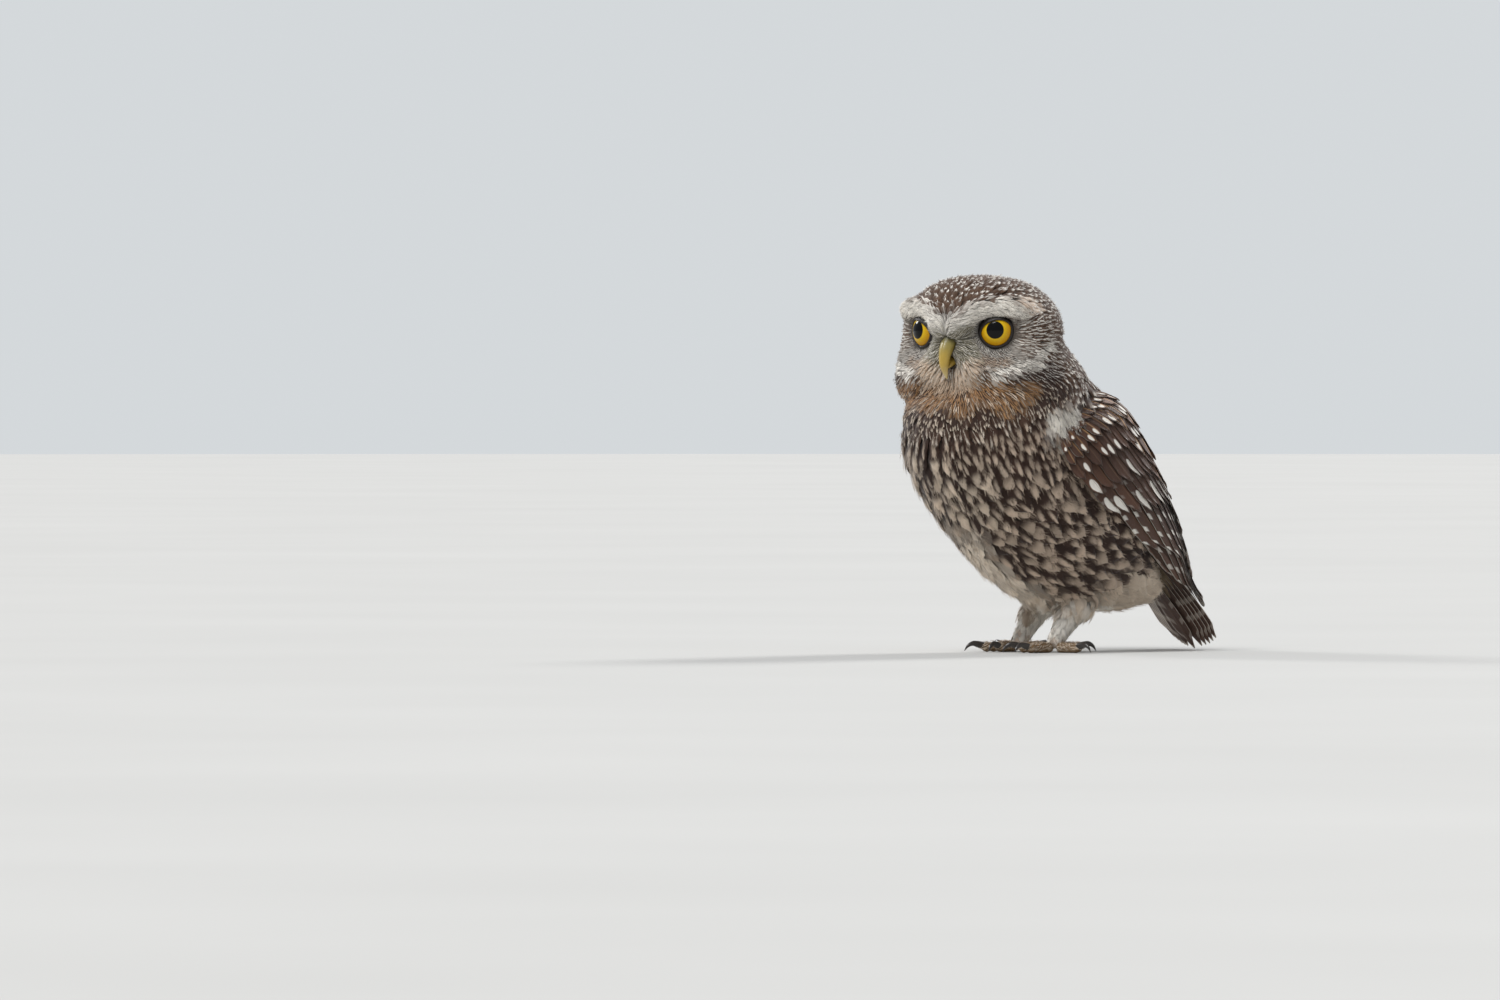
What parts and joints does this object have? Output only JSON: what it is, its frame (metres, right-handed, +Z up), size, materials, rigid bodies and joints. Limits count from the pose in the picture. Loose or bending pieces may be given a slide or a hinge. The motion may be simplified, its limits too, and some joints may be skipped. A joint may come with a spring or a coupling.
{
  "type": "little owl model",
  "caption": "Life-size still model of a standing little owl with closed wings, feathered legs, clawed toes and a hooked bill.",
  "frame": {"origin": "on the floor, under the middle of the owl's bounding box", "axes": "+Z up; the owl's body faces -Y, its left side is at +X, and its head is turned to its left"},
  "size_m": [0.0944, 0.1694, 0.181],
  "materials": {
    "head_feathers": "matt feathers, brown with pale spots",
    "body_feathers": "matt feathers, cream streaked with dark brown",
    "wing_feathers": "matt feathers, chocolate brown with white spots",
    "tail_feathers": "matt feathers, brown with buff bars",
    "leg_feathers": "short soft white feathers",
    "toes": "scaly skin with cream bristles",
    "claws": "dark horn, smooth",
    "bill": "olive-yellow horn, satin",
    "eyes": "wet, clear surface over a yellow iris"
  },
  "bodies": {
    "root": {"head": "head_feathers", "eye_left": "eyes", "eye_right": "eyes", "bill_upper": "bill", "bill_lower": "bill", "neck": "body_feathers", "torso": "body_feathers", "wing_left": "wing_feathers", "wing_right": "wing_feathers", "tail": "tail_feathers", "leg_left": "leg_feathers", "leg_right": "leg_feathers", "toe_left_inner": "toes", "toe_left_middle": "toes", "toe_left_outer": "toes", "toe_left_hind": "toes", "toe_right_inner": "toes", "toe_right_middle": "toes", "toe_right_outer": "toes", "toe_right_hind": "toes", "claw_left_inner": "claws", "claw_left_middle": "claws", "claw_left_outer": "claws", "claw_left_hind": "claws", "claw_right_inner": "claws", "claw_right_middle": "claws", "claw_right_outer": "claws", "claw_right_hind": "claws"}
  },
  "joints": []
}
